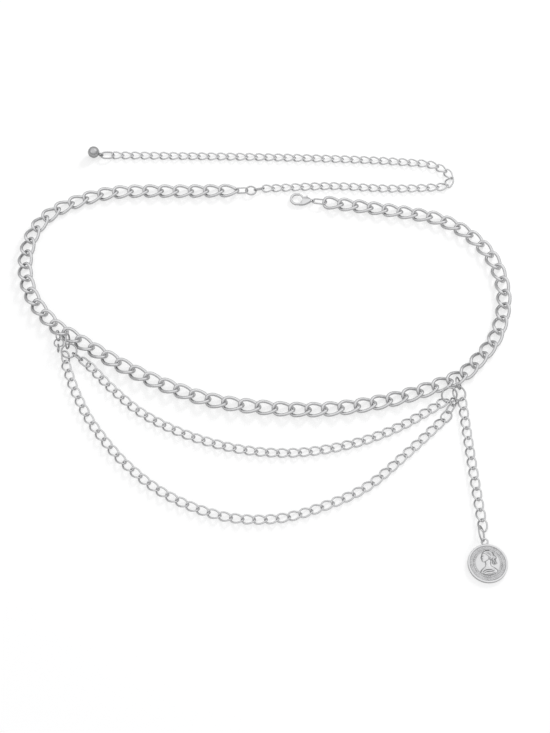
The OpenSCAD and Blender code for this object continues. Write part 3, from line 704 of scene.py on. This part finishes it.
# Cut lines of the face: depth as a share of the bust's height, points and half width
FACE_LINES = [
    (0.12, [(-0.255, 0.254), (-0.245, 0.268), (-0.25, 0.285)], 0.008),
    (0.14, [(-0.285, 0.187), (-0.26, 0.186), (-0.238, 0.181)], 0.007),
    (0.10, [(-0.242, 0.366), (-0.215, 0.374), (-0.185, 0.362)], 0.006),
]


def bust_relief(at):
    """Height of the bust over the field, in millimetres, at points in shares of the radius."""
    full = BUST_H
    h = cushion(at, SHOULDERS, 0.5 * full, 0.08)
    for fold in FOLDS:
        crest = stroke(at, fold, 0.022)
        valley = stroke(at, [(a + 0.01, b - 0.045) for a, b in fold], 0.02)
        h += (h > 0) * full * 0.22 * (crest - 0.7 * valley)
    h = np.maximum(h, cushion(at, NECK, 0.62 * full, 0.12))
    face = cushion(at, FACE, 0.8 * full, 0.13)
    soft = sum(height * mound(at, *form) for height, *form in FACE_MOUNDS)
    soft -= sum(depth * stroke(at, *line) for depth, *line in FACE_LINES)
    h = np.maximum(h, face + (face > 0) * full * soft)
    # Ear, half under the hair
    ear = (0.25 * mound(at, (0.035, 0.31), (0.035, 0.055), -12)
           - 0.22 * mound(at, (0.035, 0.31), (0.016, 0.032), -12))
    h += full * ear * (h > 0)
    hair = cushion(at, HAIR, 0.9 * full, 0.09)
    x, y = (at - BUN).T
    around, away = np.arctan2(y, x), np.hypot(x, y)
    strands = np.cos(46 * around + 7 * np.sin(6 * away + 1.0))
    hair += (hair > 0.12) * full * 0.13 * strands * np.clip(away / 0.2, 0, 1)
    h = np.maximum(h, hair)
    bun = full * 0.95 * np.sqrt(np.clip(1 - (away / BUN_R) ** 2, 0, 1))
    bun += (bun > 0.1) * full * 0.14 * np.cos(3 * around + 70 * away)
    h = np.maximum(h, bun)
    for ribbon in RIBBONS:
        h = np.maximum(h, 0.55 * full * stroke(at, ribbon, 0.02))
    band = stroke(at, FOREHEAD_BAND, 0.02)
    return np.where(band > 0.25, np.maximum(h, full * (0.86 + 0.14 * band)), h)


def leaf_ring(at, radius):
    """A ring of small plain leaves laid one after another, height 0 to 1."""
    count, half_length, half_width, apart, lean = 44, 0.055, 0.017, 0.022, 0.22
    angle = np.arctan2(at[:, 1], at[:, 0])
    r = np.hypot(*at.T)
    step = 2 * pi / count
    local = ((angle + pi) % step) / step - 0.5
    total = np.zeros(len(at))
    for side in (-1, 1):
        u = local * step * radius / half_length
        v = (r - radius - side * apart - side * lean * local * step * radius) / half_width
        total = np.maximum(total, np.clip(1 - u * u - v * v, 0, 1) ** 0.5)
    # The ring is open for a little way at the top.
    from_top = np.abs(((angle - pi / 2 + pi) % (2 * pi)) - pi)
    return total * (from_top > 0.12)


def coin_face(at):
    """Height of the coin's face over its middle, in millimetres."""
    r = np.hypot(*at.T) * COIN_R
    field = COIN_H / 2 - FIELD_DEPTH
    rim_in = COIN_R - RIM_W
    slope = np.clip((r - (rim_in - FIELD_DEPTH)) / FIELD_DEPTH, 0, 1)
    h = field + FIELD_DEPTH * slope**2 * (3 - 2 * slope)
    edge = 0.3
    over = np.clip((r - (COIN_R - edge)) / edge, 0, 1)
    h -= edge * (1 - np.sqrt(1 - over**2))
    border = rim_in - FIELD_DEPTH - BEAD_D / 2
    angle = np.arctan2(at[:, 1], at[:, 0])
    step = 2 * pi / BEADS
    local = (angle + step / 2) % step - step / 2
    d2 = (r * np.cos(local) - border) ** 2 + (r * np.sin(local)) ** 2
    bead = np.sqrt(np.clip((BEAD_D / 2) ** 2 - d2, 0, None)) - BEAD_D / 4
    h = np.maximum(h, field + bead)
    line_h, line_half, line_from_beads, leaf_h, leaves_at = 0.11, 0.11, 0.3, 0.13, 0.68
    line = line_h * np.exp(-(((r - (border - BEAD_D / 2 - line_from_beads)) / line_half) ** 2))
    h = np.maximum(h, field + line)
    h = np.maximum(h, field + leaf_h * leaf_ring(at, leaves_at))
    return np.maximum(h, field + bust_relief(at))


def coin_shape():
    """Rows of corners of the coin, with its reeded edge and plain back, and how sunk each is."""
    around = 432
    # Shares of the radius, closer together under the bust than near the rim
    shares = np.concatenate([np.linspace(0.0, 0.66, 88), np.linspace(0.66, 1.0, 52)[1:]])
    ring = np.hstack(circle(around))
    at = (shares[:, None, None] * ring).reshape(-1, 2)
    top = coin_face(at).reshape(len(shares), around)

    def level(reach, z):
        """One row of corners at a reach from the middle and a height."""
        return np.column_stack([ring * reach, np.broadcast_to(z, around)])

    rows = [level(share * COIN_R, z) for share, z in zip(shares, top)]
    # Reeded edge: every third column of corners is a groove.
    side_z = np.linspace(COIN_H / 2 - 0.34, -COIN_H / 2 + 0.3, 6)
    groove = np.where(np.arange(around) % 3 == 0, 0.07, 0.0)
    depths = (0.2, 1, 1, 1, 1, 0.2)
    rows += [level((COIN_R - groove * depth)[:, None], z) for z, depth in zip(side_z, depths)]
    # The plain back with its rim: share of the radius, and height over the lowest point
    back = [
        (1.0, 0.25), (0.992, 0.1), (0.978, 0.0), (0.93, 0.0), (0.918, 0.03), (0.9, 0.22),
        (0.886, 0.33), (0.875, FIELD_DEPTH), (0.7, FIELD_DEPTH), (0.35, FIELD_DEPTH),
        (0.0, FIELD_DEPTH),
    ]
    rows += [level(share * COIN_R, rise - COIN_H / 2) for share, rise in back]
    corners = np.array(rows)
    # Recesses, which get painted shade: where the face lies below its surroundings, or in the field
    # beside a form.
    full_depth, border_from, border_share = 0.045, 0.74, 0.45
    blurred = top
    for _ in range(30):
        blurred = (blurred + np.roll(blurred, 1, 1) + np.roll(blurred, -1, 1)) / 3
        blurred[1:-1] = (blurred[1:-1] + blurred[:-2] + blurred[2:]) / 3
    recess = np.clip((blurred - top) / full_depth, 0, 1)
    recess[shares > border_from] *= border_share
    recess = np.concatenate([recess, np.zeros((len(rows) - len(shares), around))])
    return corners, recess


def coin_matrix():
    """Turn and place of the tilted coin, whose lowest point touches the floor."""
    tilt = radians(COIN_TILT)
    lift = COIN_R * sin(tilt) + COIN_H / 2 * cos(tilt)
    return turn_matrix((COIN_TILT, 0, 0)), np.array([*COIN_PLACE, lift])


class WAISTCHAIN_OT_stage(bpy.types.Operator):
    """Make the camera, the pale floor and the soft studio light"""

    bl_idname = "waist_chain.stage"
    bl_label = "Studio"

    def execute(self, context):
        look = context.scene.waist_chain_studio
        scene = context.scene
        lens = bpy.data.cameras.new("camera")
        lens.lens = 63.8
        lens.sensor_width = 36
        lens.clip_start, lens.clip_end = 0.05, 20
        camera = bpy.data.objects.new("camera", lens)
        camera.location = (0.008, -0.404, 0.675)
        camera.rotation_euler = (radians(30), 0, 0)
        scene.collection.objects.link(camera)
        scene.camera = camera
        scene.view_settings.view_transform = "Standard"

        half = 3.0
        mesh = bpy.data.meshes.new("studio_floor")
        mesh.from_pydata([(-half, -half, 0), (half, -half, 0), (half, half, 0), (-half, half, 0)],
                         [], [(0, 1, 2, 3)])
        floor = bpy.data.objects.new("studio_floor", mesh)
        scene.collection.objects.link(floor)
        paper = bpy.data.materials.new("floor_paper")
        paper.use_nodes = True
        tree = paper.node_tree
        place = node(tree, "ShaderNodeTexCoord").outputs["Object"]
        fibre = noise(tree, place, 900.0, 3.0)
        bright = (*look.floor, 1)
        faint = (*[c * 0.985 for c in look.floor], 1)
        # The paper glows to the eye, and is only pale in the metal's reflections.
        seen = node(tree, "ShaderNodeLightPath").outputs["Is Camera Ray"]
        glow = stretch(tree, seen, 0.0, 1.0, look.glow * 0.25, look.glow)
        feed(tree.nodes["Principled BSDF"], {
            "Base Color": blend_colour(tree, fibre, bright, faint), "Roughness": 0.9,
            "Specular IOR Level": 0.1, "Emission Color": (1, 1, 1, 1), "Emission Strength": glow,
        })
        mesh.materials.append(paper)

        world = bpy.data.worlds.new("soft_surround")
        world.use_nodes = True
        scene.world = world
        tree = world.node_tree
        direction = node(tree, "ShaderNodeTexCoord").outputs["Generated"]
        rise = node(tree, "ShaderNodeSeparateXYZ", None, Vector=direction).outputs["Z"]
        ramp = node(tree, "ShaderNodeValToRGB", None, Fac=stretch(tree, rise, -0.1, 1.0, 0.0, 1.0))
        stops = ramp.color_ramp.elements
        stops[0].position, stops[0].color = 0.0, (0.38, 0.38, 0.385, 1)
        stops[1].position, stops[1].color = 1.0, (0.88, 0.88, 0.885, 1)
        for height, grey in ((0.4, 0.46), (0.65, 0.72)):
            stops.new(height).color = (grey, grey, grey + 0.005, 1)
        feed(tree.nodes["Background"], {"Color": ramp.outputs["Color"], "Strength": look.sky})

        def soft_light(name, place, size, power, mirrored=True):
            """A soft box that faces the middle of the scene."""
            data = bpy.data.lights.new(name, "AREA")
            data.shape = "RECTANGLE"
            data.size, data.size_y = size
            data.energy = power
            light = bpy.data.objects.new(name, data)
            light.location = place
            light.rotation_euler = (-Vector(place)).to_track_quat("-Z", "Y").to_euler()
            light.visible_glossy = mirrored
            scene.collection.objects.link(light)

        # The lamp that throws the shadows is hidden from the metal, which mirrors the boxes.
        soft_light("shadow_lamp", (0.7, 1.05, 0.67), (0.35, 0.35), look.key * 1.8, False)
        soft_light("key_softbox", (0.75, 0.6, 0.9), (1.15, 1.15), look.key * 0.18)
        soft_light("fill_softbox", (-0.9, -0.35, 0.8), (0.9, 0.6), look.key * 0.05)
        return {"FINISHED"}


class WAISTCHAIN_OT_main_chain(bpy.types.Operator):
    """Build the 71 large curb links round the waist"""

    bl_idname = "waist_chain.main_chain"
    bl_label = "Main chain"

    def execute(self, context):
        sizes = context.scene.waist_chain_sizes
        curb_chain("main_chain_links", "main_chain", link_places(MAIN_ROUTE, MAIN_STOPS),
                   sizes.main_hole, sizes.main_wire, MAIN_BLUNTNESS, MAIN_MESH,
                   silver("main_wire_silver"))
        return {"FINISHED"}


class WAISTCHAIN_OT_drapes(bpy.types.Operator):
    """Build the small curb links of the two swags"""

    bl_idname = "waist_chain.drapes"
    bl_label = "Swags"

    def execute(self, context):
        small_chain("upper_drape_links", "upper_drape", UPPER_ROUTE, UPPER_LINKS)
        small_chain("lower_drape_links", "lower_drape", LOWER_ROUTE, LOWER_LINKS)
        return {"FINISHED"}


class WAISTCHAIN_OT_loose_chains(bpy.types.Operator):
    """Build the small curb links of the coin drop and of the extension"""

    bl_idname = "waist_chain.loose_chains"
    bl_label = "Drop and extension"

    def execute(self, context):
        # The last links climb to the coin's ring: lift and slope of each
        climb = {DROP_LINKS - 2: (0.1, 0.02), DROP_LINKS - 1: (0.65, 0.1)}
        small_chain("drop_links", "drop_chain", DROP_ROUTE, DROP_LINKS, lifts=climb)
        small_chain("extension_links", "extension_chain", EXTENSION_ROUTE, EXTENSION_LINKS,
                    EXTENSION_MESH)
        return {"FINISHED"}


class WAISTCHAIN_OT_rings(bpy.types.Operator):
    """Build the rings and joining links of drawn wire"""

    bl_idname = "waist_chain.rings"
    bl_label = "Rings and joining links"

    def execute(self, context):
        for name, place, turn, hole_w, hole_len, wire, start in LOOPS:
            shape = Shape()
            x, y, lift = place
            z = lift + lowest_lift(turn, hole_w, hole_len, wire)
            wire_loop(shape, (x, y, z), turn, hole_w, hole_len, wire, start)
            piece = shape.object(name + "_wire", silver("ring_wire_silver"))
            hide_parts(name)
        return {"FINISHED"}


class WAISTCHAIN_OT_ball(bpy.types.Operator):
    """Build the ball at the free end, with its collar and eye"""

    bl_idname = "waist_chain.ball"
    bl_label = "End ball"

    def execute(self, context):
        shape = Shape()
        rows, around = 72, 64
        tilt, heading = BALL_EYE_TURN
        axis = turn_matrix((0, tilt, heading)) @ RIGHT
        side = unit(np.cross(axis, UP))
        over = np.cross(side, axis)
        r = BALL_D / 2
        # Round from the far pole to the collar, then the collar's low step and its flat top
        collar_angle = 0.30
        collar_from = r * cos(collar_angle)
        profile = [(r * cos(a), r * sin(a)) for a in np.linspace(pi, collar_angle, rows)]
        profile += [(collar_from + rise, out)
                    for rise, out in ((0.02, 0.98), (0.16, 0.94), (0.22, 0.8), (0.22, 0.0))]
        centre = np.array([*BALL_PLACE, r])
        rings = lathe_rings(profile, centre, axis, side, over, around)
        shape.add_rows(rings, row_length=0.16, girth=pi * BALL_D, close_rows=False)
        eye_r = (BALL_EYE_HOLE + STEP_WIRE) / 2
        rings = round_ring(centre + axis * (r + eye_r), axis, over, side, eye_r, STEP_WIRE, 56, 16)
        shape.add_rows(rings, row_length=0.14, girth=pi * STEP_WIRE)
        piece = shape.object("end_ball_polished", silver("ball_silver"))
        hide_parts("end_ball")
        return {"FINISHED"}


# Corners of the clasp body's lower edge in the clasp's frame: x and y
BODY_EDGE_X, BODY_EDGE_Y = (1.8, 4.6, 6.8, 8.3, 8.9), (-4.3, -3.9, -2.6, -1.2, -0.6)


def pillow_body(p):
    """Slopes the clasp's body down from a ridge to its long edges and rounds its lower edge."""
    x, y, z = p.T
    # Only what lies over the slot for the lever is moved up or down.
    slot_half = 0.76
    over = np.clip((np.abs(z) - slot_half) / (BODY_H / 2 - slot_half), 0, 1)
    half_width = np.interp(x, [2, 4.5, 6.5, 8, 9.2], [4.2, 3.4, 2.6, 1.8, 1.0])
    ridge = np.interp(x, [2, 5, 8], [-0.6, -0.3, 0])
    share = np.clip(np.abs(y - ridge) / half_width, 0, 1)
    towards_tail = np.clip((x - 6.0) / 3.2, 0, 1)
    towards_hook = np.clip((3.9 - x) / 2.1, 0, 1) * (y < 0)
    towards_hook = towards_hook**2 * (3 - 2 * towards_hook)
    drop = 0.62 * share**1.4 + 0.2 * towards_tail**2 * (1 - share) + 0.9 * towards_hook
    drop = np.minimum(drop, 0.72) * over * (x > 1.2) * (x < 9.0)
    # The corners of the lower edge are averaged away over this reach to both sides.
    reach = 1.1
    edge = np.interp(x, BODY_EDGE_X, BODY_EDGE_Y)
    rounded = np.mean([np.interp(x + step, BODY_EDGE_X, BODY_EDGE_Y)
                       for step in np.linspace(-reach, reach, 12)], axis=0)
    near = np.clip((y - ridge) / (edge - ridge), 0, 1) ** 2 * (x > 2.8) * (x < 8.0)
    return np.column_stack([x, y + (rounded - edge) * near, z - np.sign(z) * drop])


def cast_copy(node_name, name, body, voxel, soften, pillow=None):
    """A softened copy of a CAD node's mesh with the rounded edges of a casting."""
    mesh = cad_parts[node_name].data.copy()
    piece = bpy.data.objects.new(name, mesh)
    bpy.context.scene.collection.objects.link(piece)
    mesh.materials.clear()
    from_clasp = Matrix.Translation([c * MM for c in CLASP_PLACE]) @ Matrix.Rotation(
        radians(CLASP_TURN), 4, "Z")
    mesh.transform(from_clasp.inverted())
    for kind, settings in (
        ("WELD", {"merge_threshold": 1e-6}),
        ("REMESH", {"mode": "VOXEL", "voxel_size": voxel * MM}),
        ("SMOOTH", {"factor": 0.5, "iterations": soften}),
    ):
        modifier = piece.modifiers.new(kind.lower(), kind)
        for key, value in settings.items():
            setattr(modifier, key, value)
    graph = bpy.context.evaluated_depsgraph_get()
    soft = bpy.data.meshes.new_from_object(piece.evaluated_get(graph))
    piece.modifiers.clear()
    piece.data = soft
    bpy.data.meshes.remove(mesh)
    soft.name = name
    if pillow:
        co = np.empty(len(soft.vertices) * 3)
        soft.vertices.foreach_get("co", co)
        co = pillow(co.reshape(-1, 3) / MM) * MM
        soft.vertices.foreach_set("co", co.ravel())
    soft.transform(from_clasp)
    soft.polygons.foreach_set("use_smooth", np.ones(len(soft.polygons), bool))
    soft.materials.append(silver("cast_silver"))
    soft.update()
    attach(piece, body)
    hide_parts(node_name)


class WAISTCHAIN_OT_clasp(bpy.types.Operator):
    """Build the lobster clasp: its cast body, its lever and the rivet they turn on"""

    bl_idname = "waist_chain.clasp"
    bl_label = "Clasp"

    def execute(self, context):
        cast_copy("clasp_body", "clasp_body_cast", CHAIN, voxel=0.1, soften=12,
                  pillow=pillow_body)
        cast_copy("clasp_lever", "clasp_lever_cast", LEVER, voxel=0.09, soften=4)
        shape = Shape()
        around, half, r = 40, BODY_H / 2, RIVET_D / 2
        # From the middle of the domed top over its edge to half height, and the same below
        profile = [(half, 0.0), (half - 0.012, r * 0.4), (half - 0.05, r * 0.75),
                   (half - 0.12, r * 0.97), (half - 0.2, r), (0.0, r)]
        profile += [(-along, out) for along, out in profile[-2::-1]]
        rings = lathe_rings(profile, np.array([*PIVOT, 0]), UP, RIGHT, FORWARD, around)
        shape.add_rows(placed(rings, turn_matrix((0, 0, CLASP_TURN)), CLASP_PLACE),
                       row_length=0.3, girth=pi * RIVET_D, close_rows=False)
        piece = shape.object("clasp_rivet_domed", silver("cast_silver"))
        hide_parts("clasp_rivet")
        return {"FINISHED"}


class WAISTCHAIN_OT_coin(bpy.types.Operator):
    """Build the struck coin with its beaded rim, plain bust and loop"""

    bl_idname = "waist_chain.coin"
    bl_label = "Coin"

    def execute(self, context):
        corners, recess = coin_shape()
        turn, place = coin_matrix()
        shape = Shape()
        shape.add(placed(corners, turn, place), *grid(*corners.shape[:2], close_rows=False),
                  recess=recess.ravel())
        centre = np.array([COIN_LOOP_X, COIN_R + COIN_LOOP_HOLE / 2 + COIN_LOOP_WIRE / 4, 0])
        rings = round_ring(centre, RIGHT, FORWARD, UP, (COIN_LOOP_HOLE + COIN_LOOP_WIRE) / 2,
                           COIN_LOOP_WIRE, 64, 18)
        shape.add_rows(placed(rings, turn, place), row_length=0.17, girth=pi * COIN_LOOP_WIRE)
        piece = shape.object("coin_struck", silver("struck_silver"))
        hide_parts("coin")
        return {"FINISHED"}


class WAISTCHAIN_PT_pieces(bpy.types.Panel):
    """Lists what the waist chain is built of"""

    bl_idname = "WAISTCHAIN_PT_pieces"
    bl_label = "Waist chain"
    bl_space_type = "VIEW_3D"
    bl_region_type = "UI"
    bl_category = "Waist chain"

    def draw(self, context):
        column = self.layout.column()
        for operator in OPERATORS:
            column.operator(operator.bl_idname)
        for name in SETTINGS:
            settings = getattr(context.scene, name)
            box = self.layout.box()
            for key in settings.__annotations__:
                box.prop(settings, key)


OPERATORS = [
    WAISTCHAIN_OT_stage,
    WAISTCHAIN_OT_main_chain,
    WAISTCHAIN_OT_drapes,
    WAISTCHAIN_OT_loose_chains,
    WAISTCHAIN_OT_rings,
    WAISTCHAIN_OT_ball,
    WAISTCHAIN_OT_clasp,
    WAISTCHAIN_OT_coin,
]
SETTINGS = {
    "waist_chain_sizes": ChainSizes,
    "waist_chain_finish": SilverFinish,
    "waist_chain_studio": StudioLook,
}
CLASSES = [*SETTINGS.values(), *OPERATORS, WAISTCHAIN_PT_pieces]


def register():
    """Adds the settings, the operators and the panel to Blender."""
    for cls in CLASSES:
        bpy.utils.register_class(cls)
    for name, cls in SETTINGS.items():
        setattr(bpy.types.Scene, name, bpy.props.PointerProperty(type=cls))


def unregister():
    """Takes them out again."""
    for name in SETTINGS:
        delattr(bpy.types.Scene, name)
    for cls in reversed(CLASSES):
        bpy.utils.unregister_class(cls)


def main():
    """Builds every piece with the settings as they stand."""
    register()
    for operator in OPERATORS:
        getattr(bpy.ops.waist_chain, operator.bl_idname.split(".")[1])()


if __name__ == "__main__":
    main()
